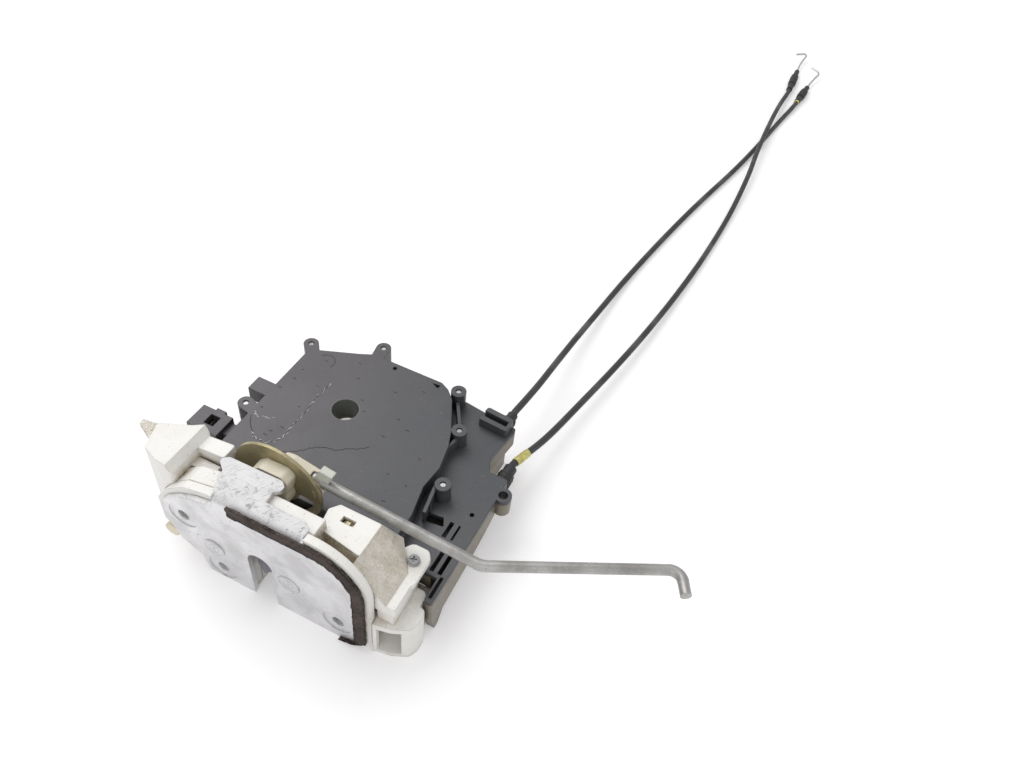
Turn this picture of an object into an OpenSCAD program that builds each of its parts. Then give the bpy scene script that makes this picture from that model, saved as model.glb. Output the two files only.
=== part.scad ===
// Car door lock: face plate with striker slot, white latch block, actuator housing, handle rod and two cables.
// The frame's origin is the mouth of the drive bore in the housing cover, +Z points up, the face plate faces -Y.
// Heights inside the modules are counted from the surface that the lock lies on.

/* [Housing] */
// Height of the top of the housing cover
cover_top = 31; // [30:0.5:33]
// Height of the cover's lower deck
deck_top = 23; // [22.5:0.25:24]
// Height where the cover meets the base
split_z = 21; // [20.5:0.25:21.5]
// Height of the underside of the base
base_bottom = 14; // [13:0.25:15]
// Wall and floor thickness of the housing
wall = 2; // [1.6:0.1:2.2]
// Diameter of the drive bore
bore_d = 10.8; // [9:0.2:12]
// Depth of the drive bore
bore_depth = 10; // [8:0.5:10]
// Diameter of the recess under the drive bore
recess_d = 23; // [20:0.5:24]
// Diameter of the screw bosses round the cover
ear_d = 6.4; // [5.6:0.2:7]
// Diameter of the holes in the screw bosses
ear_hole_d = 2.4; // [1.8:0.1:3]
// Diameter of the hole in the boss beside the second cable
side_hole_d = 3.8; // [3:0.1:4.2]
// Gap between pieces that are assembled into each other
fit = 0.15; // [0.1:0.05:0.2]

/* [Face plate] */
// Distance from the drive bore's axis to the outer face of the plate
face_y = 69.5; // [68.5:0.25:71]
// Sheet thickness of the plate
plate_t = 2; // [1.8:0.1:2.2]
// Height of the top bend above the bottom edge
plate_h = 52.5; // [52:0.25:54]
// Place of the plate's right edge
plate_right = 52.4; // [51.5:0.2:53]
// Radius of the plate's upper right corner
plate_r = 18.5; // [16:0.5:20]
// Outer radius of the top bend
bend_r = 3.5; // [3:0.25:4]
// Width of the striker slot
slot_w = 10.2; // [9:0.2:11]
// Height of the striker slot
slot_h = 28.3; // [26:0.5:29]
// Place of the slot's middle
slot_x = 10.2; // [9.5:0.1:10.5]
// Core diameter of the three threaded holes
bolt_d = 5; // [4.5:0.1:5.5]
// Diameter of the threaded collars behind the plate
collar_d = 9; // [8:0.25:9.5]
// Length of the threaded collars behind the sheet
collar_l = 3.5; // [3:0.25:4]
// Thickness of the foam seal on the face
seal_t = 1.8; // [1.4:0.1:2.2]
// Width of the foam seal
seal_w = 5.5; // [4.5:0.25:6]
// Width by which the white rim stands out round the plate's right end
rim_w = 2.4; // [2:0.1:3]

/* [Catch] */
// Thickness of the catch and of the pawl
catch_t = 4; // [3.5:0.25:4.5]
// Outer radius of the catch's tooth
catch_r = 17.3; // [17:0.1:17.6]
// Outer radius of the catch's upper horn
horn_r = 15; // [14:0.25:15.2]
// Gap between the shut catch's tooth and the pawl
tooth_gap = 2.8; // [2.6:0.1:4]
// Width of the throat that holds the striker
throat_w = 10.6; // [10:0.2:11.2]
// Angle by which the catch turns from open to shut
catch_turn = 50; // [46:1:52]
// Share of the catch's angle by which the pawl follows
pawl_share = 0.52; // [0.48:0.01:0.54]
// Diameter of both rivets where the catch and the pawl turn
rivet_d = 8; // [7:0.25:8.5]
// Diameter of the rivet heads on the face
rivet_head_d = 8.6; // [8:0.2:9.4]
// Diameter of the round buffer at the block's left edge
buffer_d = 6.2; // [5.6:0.2:6.4]
// Running gap between a turning piece and its pin
run = 0.1; // [0.08:0.01:0.15]

/* [Key lever and rod] */
// Radius of the key lever's disc
lever_r = 18.2; // [17.5:0.1:18.5]
// Sheet thickness of the key lever
lever_t = 1.2; // [1:0.1:1.4]
// Radius of the round part of the hub in front of the key lever
hub_r = 7.6; // [7.2:0.1:8]
// Diameter of the key lever's pin
lever_pin_d = 6; // [5:0.25:7]
// Diameter of the handle rod
rod_d = 4; // [3.6:0.1:4.2]
// Length of the rod's straight stretch beside the lock
rod_l = 64.4; // [60:0.2:68]

/* [Actuator] */
// Width of the motor's can
motor_w = 18.6; // [17:0.2:19]
// Height of the motor's can across its flats
motor_h = 14.6; // [13:0.2:14.8]
// Length of the motor's can
motor_l = 22; // [20:0.5:23]
// Number of teeth on the worm wheel
wheel_teeth = 24; // [24:1:24]
// Distance between the worm's axis and the wheel's axis
worm_reach = 13; // [12.9:0.05:13.1]
// Thickness of the worm wheel
wheel_t = 5; // [4:0.5:6]

/* [Cables] */
// Outer diameter of the cables
cable_d = 3; // [2.8:0.1:3.2]
// Diameter of the fittings on the cables' ends
fitting_d = 5.2; // [4.8:0.1:5.3]
// Diameter of the wire inside the cables
wire_d = 1.5; // [1.2:0.1:1.8]
// Diameter of the glands on the housing
gland_d = 6.4; // [5.6:0.2:7]

/* [Hidden] */
$fn = 48;

white = [0.93, 0.91, 0.85];
zinc = [0.78, 0.79, 0.80];
steel = [0.62, 0.63, 0.64];
black = [0.13, 0.13, 0.14];
gold = [0.67, 0.62, 0.42];

// Depths behind the outer face of the plate
catch_y = plate_t + 0.6;
layer_y = plate_t + collar_l + 0.3;
room_end = 10;
slab_end = 12.5;
back_plate_t = 2;
hub_y = 18.2;
lever_y = 23.4;
clip_y = lever_y + lever_t + 0.3;
latch_depth = 25.5;
front_y = latch_depth - face_y;

// Threaded holes, pins and pivots, across and up
bolts = [[-21.3, 30.7], [-8.6, 6.2], [41.2, 10.2]];
fork_at = [22.1, 20.5];
pawl_at = [-9.9, 18.8];
tooth_at = [12, 35];
lever_at = [2.7, 39.2];
clip_at = [4.5, 46.8];
rod_at = [17.4, 46];
buffer_at = [-29.9, 15];
pocket_z = 38;
shelf_z = 26;
slope_front = 3.8;
tab_top = 31;
screw_at = [58.3, 23.2];
boss_screw_at = [62.4, 8];
rod_y = clip_y + 2.4;
rod_drop = 5;
rod_far = [60.3, 31.8, 0];
rod_crank = [4.6, -8.7, 0];

// Screw bosses of the cover: three outside its rim and three beside its step
outer_ears = [[-35.3, -16.5], [-32.7, 23.9], [-5.2, 37.2]];
step_ears = [[34.1, 31.7], [44.1, 13.5], [51.2, -12.6]];
side_ear = [71.2, -0.5];

// Ribs beside the step of the cover: from, to, height of their tops
step_ribs = [[[44.6, 11], [41.5, -4], 29], [[48.6, -13.6], [50.8, -26], 29.5], [[46.5, -26], [48.8, -40], 28.5],
    [[35.5, 28.6], [43.6, 15.5], 28]];

motor_y = 20;
motor_z = 12.5;
motor_x = 34.3;
wheel_at = [24, motor_y - worm_reach];
pitch_r = worm_reach - 3.4;
worm_lead = 2 * PI * pitch_r / wheel_teeth;
lock_at = [34, -24];
release_at = [-16, -26];
gland_1_at = [55.8, 32.7, 19.6];
gland_2_at = [66.6, 6.8, 17];
gland_1_l = 8;
gland_2_l = 10.2;

// Routes of the cables along the surface, from gland to fitting
route_1 = [[55.8, 40.7, 19.6], [55.8, 43.5, 19.6], [56.3, 50, 18.8], [56.8, 66, 15.5], [56.9, 84, 12], [57.4, 108, 8], [59, 138, 4.6],
    [61.8, 175, 2.2], [67.2, 218, 1.8], [74.1, 262, 1.8], [82.8, 309, 1.8], [88.5, 346, 1.8], [94.4, 393, 1.8],
    [97, 410, 2.3], [98.5, 421, 2.7], [98.8, 425.6, 2.7]];
route_2 = [[66.6, 17, 17], [66.6, 19.5, 17], [68, 26, 15.6], [71.4, 46, 10], [76, 75, 7], [81, 105, 5.6], [85.6, 138, 4.2],
    [89.6, 176, 2.6], [92.7, 218, 1.9], [94.2, 264, 2.4], [93.4, 306, 4.8], [91.2, 338, 5.8], [89.6, 380, 5.7],
    [89.2, 410, 4.2], [89.9, 434, 2.7], [89.7, 440, 2.7]];
fitting_1_to = [100.6, 451.5, 2.7];
fitting_2_to = [88.4, 472.3, 2.7];

module above_table() translate([0, 0, -cover_top]) children();
module behind_face() translate([0, -face_y, -cover_top]) children();

// Extrudes an outline drawn across and up, from one depth to another
module plate_wise(from, to) translate([0, to, 0]) rotate([90, 0, 0]) linear_extrude(to - from) children();

// Extrudes an outline drawn in depth and up, from one place across to another
module side_wise(from, to) translate([from, 0, 0]) rotate([90, 0, 90]) linear_extrude(to - from) children();

// Round bar along the depth
module bar(at, d, from, to) translate([at[0], to, at[1]]) rotate([90, 0, 0]) cylinder(d = d, h = to - from);

// Smooth outline with round corners
module soft(r) offset(r, $fn = 24) offset(delta = -r) children();

// The plate's right end, moved out by grow all round
module plate_end(grow) {
    hull() {
        translate([1.3, 0]) square([1, plate_h + grow]);
        translate([plate_right - plate_r, plate_h - plate_r]) circle(plate_r + grow, $fn = 72);
        translate([plate_right - 5, 0]) square([5 + grow, 4]);
    }
}

module plate_outline() {
    soft(1.6) polygon([[-30.5, 24], [-30.5, 33], [-27.2, 37.4], [-21, 42], [-14, 45.4], [-9, 46.6], [-5.4, 47.6],
        [-5.4, plate_h], [3, plate_h], [3, 0], [-14.5, 0], [-17.5, 8.5], [-25, 13.4]]);
    difference() {
        plate_end(0);
        foam_wedge();
    }
}

// The foam's end under the plate's lower right corner
module foam_wedge() polygon([[41, -1], [plate_right, -1], [plate_right, 4.6], [48.4, 2.6], [41.6, 0.6]]);

// What the foam's slanting lower end leaves free
module foam_end() polygon([[30, -3], [60, -3], [60, 9.6], [54.4, 7], [49, 1.8], [42, -0.4]]);

module slot_outline() {
    translate([slot_x - slot_w / 2, -1]) square([slot_w, slot_h + 1 - slot_w / 2]);
    translate([slot_x, slot_h - slot_w / 2]) circle(d = slot_w);
}

module flange_outline() {
    soft(1.2) polygon([[-5.4, 0.2], [-8.6, 8], [-9, 11], [-12.2, 13.6], [-12.4, 15.2], [-10.4, 16.8], [10.8, 17.2],
        [12.8, 15.6], [12.8, 13.6], [10.8, 12], [11.2, 7.6], [27.4, 7.4], [29.5, 5.4], [29.5, 0.2]]);
}

module bend_corner(r) {
    difference() {
        translate([-1, plate_h - r]) square([r + 1, r + 1]);
        translate([r, plate_h - r]) circle(r);
    }
}

module face_plate() {
    color(zinc) behind_face() difference() {
        union() {
            plate_wise(0, plate_t) plate_outline();
            intersection() {
                translate([0, 0, plate_h - bend_r]) linear_extrude(bend_r) flange_outline();
                side_wise(-20, 40) difference() {
                    translate([0, 0]) square([20, plate_h]);
                    hull() {
                        translate([bend_r, plate_h - bend_r]) circle(bend_r - plate_t);
                        translate([plate_t, 0]) square([20, 1]);
                        translate([19, 0]) square([2, plate_h - plate_t]);
                    }
                }
            }
            for (b = bolts) bar(b, collar_d, plate_t, plate_t + collar_l);
        }
        side_wise(-5.5, 29.6) bend_corner(bend_r);
        plate_wise(-1, plate_t + 1) slot_outline();
        for (b = bolts) bar(b, bolt_d, -1, plate_t + collar_l + 1);
        for (b = bolts) bar(b, bolt_d + 7, -1, 0.4);
        for (p = [fork_at, pawl_at]) bar(p, rivet_d - 2 + fit, -1, plate_t + 1);
    }
}

module foam_seal() {
    lip = 1.5;
    color([0.24, 0.20, 0.20]) behind_face() {
        plate_wise(-seal_t, 0) difference() {
            plate_end(lip);
            foam_end();
            difference() {
                plate_end(lip - seal_w);
                foam_wedge();
            }
        }
        // End of the strip, folded under the plate's corner
        plate_wise(-0.1, plate_t) offset(delta = -fit) difference() {
            foam_wedge();
            foam_end();
        }
    }
}

// Rooms in the white block for the catch and the pawl
module works_outline() {
    translate(fork_at) circle((catch_r + 0.9) / cos(180 / 16), $fn = 16);
    translate(pawl_at) circle(9);
    hull() {
        translate(pawl_at) circle(7.8);
        translate(tooth_at) circle(4);
        translate(tooth_at + [-9.3, 7.2]) circle(4.6);
    }
    hull() {
        translate(pawl_at + [-5.5, -4]) circle(4.2);
        translate(pawl_at + [-7, -0.5]) circle(4.6);
        translate(pawl_at) circle(5);
    }
}

module block_outline() {
    soft(2) polygon([[-34, 18], [-34, 31], [-28, 39.5], [-20, 46], [-10, 48.8], [2, plate_h - plate_t - fit],
        [8, plate_h - plate_t - fit], [8, 0.3], [-15, 0.3], [-19, 7], [-28, 11.5]]);
    intersection() {
        plate_end(-1.5);
        translate([0, 0.3]) square([80, plate_h - plate_t - fit - 0.3]);
    }
}

// Slot in the plastic behind the plate's slot, a little wider
module slot_room() {
    w = slot_w + 1.6;
    translate([slot_x, 0]) polygon([[-w / 2, -1], [w / 2, -1], [w / 2, slot_h - 5], [w / 4, slot_h], [-w / 4, slot_h], [-w / 2, slot_h - 5]]);
}

// Outline of the lever cover's plan, in front of and beside the levers
module cover_plan() {
    soft(1) polygon([[46.6, 4.7], [61.5, 4.7], [61.5, 21.3], [29, 21.3], [27.5, 18.4], [28.2, 14.7],
        [31.5, slab_end + fit], [46.6, slab_end + fit]]);
}

module box_plan() {
    soft(1.2) polygon([[-26.5, 25.3], [-28.7, 25.3], [-48, 21.5], [-43.4, 9.9], [-35, 6.3], [-28, 4.4], [-26.5, 4.4]]);
}

module box_profile(drop) {
    offset(delta = -drop) polygon([[-60, 16], [-60, 38], [-48, 43.2], [-34, 47.4], [-28.4, 50], [-26.6, 46], [-20, 46], [-20, 16]]);
}

// White block between two depths, with the rooms, pockets and seats that pass through it
module block_layer(from, to) {
    difference() {
        plate_wise(from, to) block_outline();
        // Room for the catch, slot, collar pockets and rivets
        plate_wise(plate_t, room_end) works_outline();
        plate_wise(0, slab_end + 1) slot_room();
        for (b = bolts) bar(b, collar_d + 0.6, 0, layer_y);
        for (p = [fork_at, pawl_at]) bar(p, rivet_d + fit, 0, slab_end + 1);
        bar(lever_at, lever_pin_d + fit, 8, slab_end + 1);
        translate([slot_x - 6, room_end + fit, slot_h - 6]) cube([12, slab_end, 11]);
        // Dusty pocket behind the rim, and room for the sloping block of the lever cover
        plate_wise(4.5, slab_end + 1) intersection() {
            plate_end(1.8);
            translate([31, pocket_z]) square([15.6, 30]);
        }
        translate([46.2 - fit, slope_front - fit, shelf_z]) cube([20, 20, 40]);
        // Seat of the slam buffer, and the corner that clears the plate's bend
        buffer_seat();
        side_wise(-6, 30.7) translate([plate_t, plate_h - plate_t]) circle(1.6);
    }
}

// Front layer of the block, with the rim that runs round the right end of the plate
module latch_front() {
    color(white) behind_face() {
        block_layer(plate_t + fit, layer_y - fit);
        difference() {
            intersection() {
                plate_wise(0.1, 3.2) plate_end(rim_w);
                translate([31, 0, 5]) cube([40, 10, 60]);
            }
            plate_wise(-1, plate_t + fit) plate_end(0.3);
            plate_wise(plate_t + fit, 4) plate_end(-1.6);
            translate([46.2 - fit, slope_front - fit, shelf_z]) cube([20, 20, 40]);
        }
    }
}

module latch_body() color(white) behind_face() block_layer(layer_y, slab_end);

// Hollow box at the left end with its sloping roof, web, bridge to the key lever and the block beside it
module side_box() {
    color(white) behind_face() difference() {
        union() {
            intersection() {
                linear_extrude(60) box_plan();
                plate_wise(0, latch_depth + 2) box_profile(0);
            }
            translate([0, 0, 35.6]) linear_extrude(2.2) polygon([[-57.4, 21], [-57.6, 23.2], [-47, 25], [-45, 15]]);
            translate([0, 0, 35]) linear_extrude(11) soft(0.8) polygon([[-28.6, 18], [-15.9, 18.8], [-15.9, 25.2], [-28.6, 24]]);
            translate([-28, 13.4, 14]) cube([11, 4.2, 27.5]);
        }
        plate_wise(0, slab_end + fit) offset(delta = fit) block_outline();
        buffer_seat();
        // Hollow, open below, and the window beside the bridge
        intersection() {
            translate([0, 0, -1]) linear_extrude(60) offset(delta = -wall) box_plan();
            plate_wise(0, 40) translate([0, -wall]) box_profile(0);
        }
    }
}

module boss_plan() {
    soft(2.4) polygon([[51.2, 1.2], [54, 0.8], [61.8, 2.4], [67.4, 5], [68.8, 8.5], [68.8, 14.5], [66, 14.5], [66, 20.5], [51.2, 20.5]]);
}

// Shelf behind the latch body that carries the levers and their cover, with the hollow boss at its right end
module lever_shelf() {
    boss_top = 20;
    color(white) behind_face() difference() {
        union() {
            translate([-26.4, slab_end, 12]) cube([92, latch_depth - slab_end - 0.2, 2]);
            translate([0, 0, 13]) linear_extrude(shelf_z - 13) difference() {
                intersection() {
                    cover_plan();
                    translate([20, slab_end]) square([60, 20]);
                }
                offset(delta = -wall) cover_plan();
            }
            linear_extrude(boss_top) boss_plan();
            // Foot under the front of the lever cover
            translate([55.2, slope_front + 0.4, boss_top - 2]) cube([6.4, 12, shelf_z - boss_top + 2]);
            // Post under the lever cover's screw
            translate([screw_at[0], screw_at[1], 13]) cylinder(d = 4, h = tab_top - wall - fit - 13);
        }
        plate_wise(0, slab_end) offset(delta = fit) block_outline();
        plate_wise(-1, 3.2 + fit) plate_end(rim_w + fit);
        bar(boss_screw_at, 2.6 + fit, 12, 16);
        // Hollow of the boss, open at the front
        translate([0, 0, 2.2]) linear_extrude(boss_top - 5.2) intersection() {
            offset(delta = -1.8) union() {
                boss_plan();
                translate([54.6, -6]) square([12, 12]);
            }
            translate([50, 0]) square([30, 12.6]);
        }
        translate([screw_at[0], screw_at[1], 20]) cylinder(d = 2.2, h = 20);
    }
}

// Outline of the roof over the levers, across and in depth
module roof_outline(inset) {
    offset(delta = -inset) polygon([[31.2, 10.7], [28.2, 14.4], [27.4, 19], [30, 22.4], [46.4, 22.4], [46.4, 8.3]]);
}

// Hipped block whose top slopes down to the flange, from a foot height
module slope_block(inset, foot) {
    top = 46 - 2 * inset;
    hull() {
        translate([46.2 + inset, slope_front + inset, foot]) cube([0.1, 22.4 - slope_front - 2 * inset, top - foot]);
        translate([46.2 + inset, slope_front + inset, foot]) cube([12.8 - 2 * inset, 18.2 - slope_front - 2 * inset, tab_top - inset - foot]);
        translate([49.2, 25.4 - inset, foot]) cube([2.2, 2.6, tab_top + 3 - inset - foot]);
    }
}

module lever_cover() {
    roof = 46;
    foot = shelf_z + fit;
    color(white) behind_face() difference() {
        union() {
            translate([0, 0, foot]) linear_extrude(roof - foot) difference() {
                soft(0.8) roof_outline(0);
                translate([-1, 0]) square([32, slab_end + fit]);
            }
            slope_block(0, foot);
            // Flange beside the slope, with the tab that takes the screw
            translate([0, 0, foot]) linear_extrude(tab_top - foot) soft(0.8)
                polygon([[50, slope_front], [62.3, slope_front], [62.3, 18.2], [50, 18.2]]);
            translate([0, 0, tab_top - wall]) linear_extrude(wall) soft(2.2)
                polygon([[50, 14], [63.2, 14], [63.2, 26.4], [61, 29.4], [54.8, 29.4], [50, 22.6]]);
        }
        // Step over the white block's rear wall
        translate([20, 0, 0]) cube([26.4, slab_end + fit, pocket_z + fit]);
        // Hollow below the roof and the slope
        translate([0, 0, foot - 1]) linear_extrude(roof - foot + 1 - wall) difference() {
            roof_outline(wall);
            translate([-1, 0]) square([33, slab_end + wall]);
        }
        slope_block(wall, foot - 1);
        translate([0, 0, foot - 1]) linear_extrude(tab_top - wall - foot + 1)
            polygon([[50, slope_front + wall], [62.3 - wall, slope_front + wall], [62.3 - wall, 18.2 - wall], [50, 18.2 - wall]]);
        // Window in the roof, hole for the screw
        translate([33.5, 16.7, roof - wall - 1]) cube([5, 2.3, wall + 2]);
        translate([screw_at[0], screw_at[1], tab_top - wall - 1]) cylinder(d = 3, h = wall + 2);
        translate([screw_at[0], screw_at[1], foot - 1]) cylinder(d = 4.4, h = tab_top - wall - foot + 1);
    }
}

// Metal tongue seen through the window in the roof, fixed under it
module roof_tongue() {
    color(gold) behind_face() {
        translate([34, 15.2, 43.4]) cube([4, 5, 0.58]);
        translate([35.2, 17.2, 43.9]) cube([1.6, 1.3, 1.2]);
    }
}

module cover_screw() {
    color(steel) behind_face() translate([screw_at[0], screw_at[1], 0]) difference() {
        union() {
            translate([0, 0, tab_top]) cylinder(d = 4.6, h = 0.6);
            translate([0, 0, tab_top + 0.5]) cylinder(d = 3.8, h = 1.1);
            translate([0, 0, 22]) cylinder(d = 2.1, h = tab_top - 22 + 0.1);
        }
        // Cross recess
        for (a = [0, 90]) rotate(a + 20) translate([-1.2, -0.25, tab_top + 0.9]) cube([2.4, 0.5, 2]);
    }
}

module boss_screw() {
    color(steel) behind_face() {
        bar(boss_screw_at, 5, 11, 12.58);
        bar(boss_screw_at, 2.6, 12.5, 15.9);
    }
}

// Slice of a disc between two angles
module sector(r, from, to) {
    intersection() {
        circle(r);
        polygon(concat([[0, 0]], [for (i = [0:6]) 2 * r * [cos(from + (to - from) * i / 6), sin(from + (to - from) * i / 6)]]));
    }
}

// Catch in its open pose, turned back from the shut one
module fork_profile() {
    tooth_face = atan2(tooth_at[1] - fork_at[1], tooth_at[0] - fork_at[0]) - tooth_gap / catch_r * 180 / PI;
    rotate(catch_turn) difference() {
        union() {
            circle(8.5);
            sector(catch_r, tooth_face - 22, tooth_face);
            sector(horn_r, tooth_face - 10, 190);
            sector(catch_r - 0.3, 190, 238);
        }
        // Throat for the striker
        hull() {
            translate([slot_x - fork_at[0], 0]) circle(d = throat_w);
            translate([-30, 0]) circle(d = throat_w + 3);
        }
        circle(d = rivet_d + 2 * run);
    }
}

module fork_bolt() {
    color([0.25, 0.24, 0.28]) behind_face() translate([fork_at[0], 0, fork_at[1]])
        plate_wise(catch_y, catch_y + catch_t) fork_profile();
}

// Pawl in its lifted pose
module pawl_profile() {
    reach = norm(tooth_at - pawl_at) - 0.1;
    lean = atan2(tooth_at[1] - pawl_at[1], tooth_at[0] - pawl_at[0]);
    rotate(lean + catch_turn * pawl_share) difference() {
        union() {
            circle(7);
            polygon([[0, -5.5], [14, -3.4], [reach - 3, -2.2], [reach, -2.2], [reach, 1.8], [reach - 4, 3.4], [0, 5.5]]);
            rotate(150) translate([0, -3]) square([8.4, 6]);
        }
        circle(d = rivet_d + 2 * run);
    }
}

module pawl() {
    color(steel) behind_face() translate([pawl_at[0], 0, pawl_at[1]])
        plate_wise(catch_y, catch_y + catch_t) pawl_profile();
}

module rivet(at) {
    behind_face() {
        bar(at, rivet_head_d, -0.4, 0);
        bar(at, rivet_d - 2, -0.1, plate_t + 0.1);
        bar(at, rivet_d, plate_t + 0.05, slab_end + fit / 2);
        bar(at, rivet_d - 2.5, slab_end, slab_end + back_plate_t + 0.6);
        bar(at, rivet_d - 0.6, slab_end + back_plate_t + 0.5, slab_end + back_plate_t + 1.4);
    }
}

module fork_pivot() color(zinc) rivet(fork_at);
module pawl_pivot() color(zinc) rivet(pawl_at);

// Torsion spring round a rivet behind the catch or the pawl, with its two legs
module torsion_spring(at, d, turns, start) {
    wire = 1;
    steps = 14;
    pitch = wire + 0.12;
    coil = [for (i = [0:steps * turns])
        let (a = start + 360 * i / steps)
        [d / 2 * cos(a), wire / 2 + pitch * i / steps, d / 2 * sin(a)]];
    last = start + 360 * turns;
    tail = coil[len(coil) - 1] + 4.5 * [-sin(last), 0, cos(last)];
    head = coil[0] - 4.5 * [-sin(start), 0, cos(start)];
    behind_face() translate([at[0], catch_y + catch_t + 0.25, at[1]]) tube(concat([head], coil, [tail]), wire, 8, [0, 1, 0]);
}

module fork_spring() color(steel) torsion_spring(fork_at, rivet_d + 2.2, 1.5, 90);
module pawl_spring() color(steel) torsion_spring(pawl_at, rivet_d + 2.2, 1.5, 0);

module striker_bumper() {
    color(black) behind_face() translate([slot_x - 6 + fit, room_end + 2 * fit, slot_h + fit])
        cube([12 - 2 * fit, slab_end - room_end - 3 * fit, 11 - 6 - 2 * fit]);
}

module back_plate() {
    color(zinc) behind_face() plate_wise(slab_end + fit, slab_end + back_plate_t) difference() {
        soft(3) polygon([[-17, 14], [-17, 27], [4, 33.5], [17, 33.5], [27.8, 28], [27.8, 15.6], [-12, 14]]);
        slot_outline();
        for (p = [fork_at, pawl_at]) translate(p) circle(d = rivet_d - 2.5 + fit);
        translate(lever_at) circle(6.2);
    }
}

module lever_pin() {
    color(zinc) behind_face() {
        bar(lever_at, 11, slab_end + 0.1, slab_end + 1.3);
        bar(lever_at, lever_pin_d, room_end, lever_y + lever_t + 0.2);
    }
}

// Window and pressed rib of the key lever, as angles round its pin
module ring_part(r_in, r_out, from, to) {
    span = to - from;
    difference() {
        polygon(concat([[0, 0]], [for (i = [0:12]) (r_out + 1) / cos(span / 24) * [cos(from + span * i / 12), sin(from + span * i / 12)]]));
        circle(r_in);
    }
}

module key_lever() {
    color(gold) behind_face() translate([lever_at[0], 0, lever_at[1]]) {
        plate_wise(lever_y, lever_y + lever_t) difference() {
            circle(lever_r, $fn = 96);
            intersection() {
                ring_part(9, 15, -75, -8);
                circle(15);
            }
            circle(d = lever_pin_d + 2 * run);
            translate(clip_at - lever_at) circle(d = 4 + 2 * run);
        }
    }
}

module lever_hub() {
    color([0.85, 0.82, 0.70]) behind_face() translate([lever_at[0], 0, lever_at[1]]) {
        plate_wise(hub_y, lever_y - 0.1) difference() {
            union() {
                circle(hub_r);
                soft(1.6) polygon([[-6, -3], [-6.4, 9], [-2.6, 12.4], [6.4, 12.6], [8.8, 10], [7.8, 4.5], [5.6, -3]]);
            }
            circle(d = lever_pin_d + 2 * run);
            translate(clip_at - lever_at) circle(3.2);
        }
    }
}

module clip_outline() {
    soft(1.2) polygon([[1.6, 43.4], [1.2, 46], [3, 49], [7, 49.6], [13.4, 48.2], [19.4, 46.8], [20.8, 43], [19.4, 39], [14.6, 37.8]]);
}

module rod_clip() {
    color([0.86, 0.83, 0.72]) behind_face() difference() {
        union() {
            plate_wise(clip_y, clip_y + 5.4) clip_outline();
            bar(clip_at, 4, lever_y - 1, clip_y + 1);
            bar(clip_at, 6, lever_y - 2.2, lever_y - 0.4);
        }
        translate([rod_at[0] - 2.6, rod_y, rod_at[1]]) rod_bore();
    }
}

// Straight hole along the rod's first stretch
module rod_bore() rotate([0, 90 + rod_lean(), 0]) cylinder(d = rod_d + 0.3, h = 40);

function rod_lean() = atan2(rod_drop, rod_l);

module clip_gate() {
    color([0.72, 0.76, 0.70]) behind_face() plate_wise(clip_y + 0.8, clip_y + 3.8)
        polygon([[17.2, 48.7], [19.6, 53.8], [24.6, 53], [22.8, 48.6], [20.6, 48.3]]);
}

// Rod along a straight stretch, a bend and the far stretch with its cranked end
module handle_rod() {
    bend_at = [rod_at[0] + rod_l, rod_y - face_y, rod_at[1] - rod_drop - cover_top];
    start = [rod_at[0] - 1.8, rod_y - face_y, rod_at[1] - cover_top];
    far_at = bend_at + rod_far;
    color(steel) bent_bar([start, bend_at, far_at, far_at + rod_crank], [8, 4.5], rod_d);
}

function unit(v) = v / norm(v);
function turn_at(p, i) = acos(unit(p[i] - p[i - 1]) * unit(p[i + 1] - p[i]));
function cut_at(p, radii, i) = i > 0 && i < len(p) - 1 ? radii[i - 1] * tan(turn_at(p, i) / 2) - 0.3 : 0;

// Round bar through a list of points, with a bend at each inner one, where the bar is pressed a little thicker
module bent_bar(p, radii, d) {
    for (i = [0:len(p) - 2]) {
        way = unit(p[i + 1] - p[i]);
        stretch(p[i] + cut_at(p, radii, i) * way, p[i + 1] - cut_at(p, radii, i + 1) * way, d);
    }
    for (i = [1:len(p) - 2]) {
        u = unit(p[i] - p[i - 1]);
        v = unit(p[i + 1] - p[i]);
        m = unit(v - (v * u) * u);
        n = cross(u, m);
        start = p[i] - (cut_at(p, radii, i) + 0.3) * u;
        centre = start + radii[i - 1] * m;
        multmatrix([[-m[0], u[0], n[0], centre[0]], [-m[1], u[1], n[1], centre[1]], [-m[2], u[2], n[2], centre[2]], [0, 0, 0, 1]])
            rotate_extrude(angle = turn_at(p, i)) translate([radii[i - 1], 0]) circle(d = d + 0.1);
    }
}

// Round bar from one point to another
module stretch(from, to, d) {
    way = to - from;
    translate(from) rotate([0, acos(way[2] / norm(way)), atan2(way[1], way[0])]) cylinder(d = d, h = norm(way));
}

module slam_buffer() color([0.90, 0.80, 0.58]) behind_face() bar(buffer_at, buffer_d, 0.3, 12);
module buffer_seat() bar(buffer_at, buffer_d + 2 * fit, plate_t, 12 + fit);

// Plan of the housing base and the deck
module house_plan() {
    soft(1.2) polygon([[-31, front_y], [-31.4, 17.3], [-27.4, 22.3], [-12.1, 29], [-6, 32.2], [1.2, 32], [25.9, 32.3],
        [30, 33.5], [36.2, 34.6], [45.4, 33.4], [61.4, 31.8], [59, 12.4], [61.6, gland_2_at[1]], [69.8, gland_2_at[1]],
        [69.8, front_y - 9.8], [66.5, front_y - 9.8], [66.5, front_y]]);
}

// Plan of the raised part of the cover
module dome_plan() {
    soft(1) polygon([[-31, front_y], [-31.4, 17.3], [-27.4, 22.3], [-12.1, 29], [-6, 32.2], [1.2, 32], [25.9, 32.3], [30, 30.2],
        [34, 26.1], [41.7, 11.1], [44.3, 4], [46.4, -6.8], [45.4, -17.3], [48, -30.2], [48, front_y]]);
}

// Outer ear and the web that joins it to the wall
module ear_plan(at, to) {
    hull() {
        translate(at) circle(d = ear_d);
        translate(to) circle(d = ear_d - 1);
    }
}

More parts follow.
